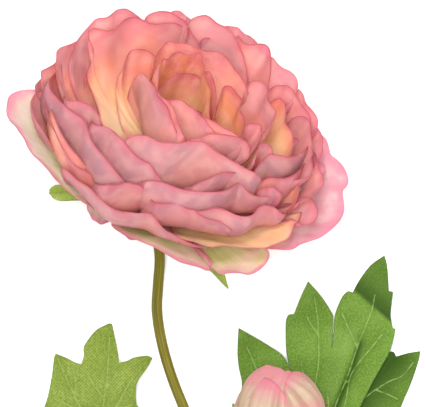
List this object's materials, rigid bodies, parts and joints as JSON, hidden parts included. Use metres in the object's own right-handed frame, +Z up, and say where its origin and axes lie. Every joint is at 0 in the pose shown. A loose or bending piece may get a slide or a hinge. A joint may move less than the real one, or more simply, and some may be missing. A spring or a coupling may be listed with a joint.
{
  "type": "ranunculus flower",
  "caption": "Cut ranunculus lying on a surface: a full layered bloom on a curved stem with lobed leaves and a closed bud.",
  "frame": {"origin": "centre of the bounding box in X and Y, at the surface the flower lies on", "axes": "+Y along the stem from its cut end to the bloom, +Z up from the surface, +X to the right seen from above"},
  "size_m": [0.1211, 0.2573, 0.0677],
  "materials": {
    "stem": "smooth olive green stem skin",
    "calyx": "soft matt green sepals",
    "guard_petals": "cream and pale green petals with a pink margin, matt, thin",
    "bloom_petals": "salmon petals with rose margins and yellow bases, matt, thin and translucent",
    "heart_petals": "peach and orange petals with rose margins, matt, thin and translucent",
    "leaf_left": "yellow-green leaf with a fine grain, matt",
    "leaf_right": "mid green leaf with pale veins, matt",
    "bud_stalk": "smooth olive green",
    "bud_calyx": "pale green sepals with fine streaks, matt",
    "bud_petals": "cream petals with rose tips, matt"
  },
  "bodies": {
    "root": {"stem": "stem", "calyx": "calyx", "guard_petals": "guard_petals", "bloom_petals": "bloom_petals", "heart_petals": "heart_petals", "leaf_left": "leaf_left", "leaf_right": "leaf_right", "bud_stalk": "bud_stalk", "bud_calyx": "bud_calyx", "bud_petals": "bud_petals"}
  },
  "joints": []
}
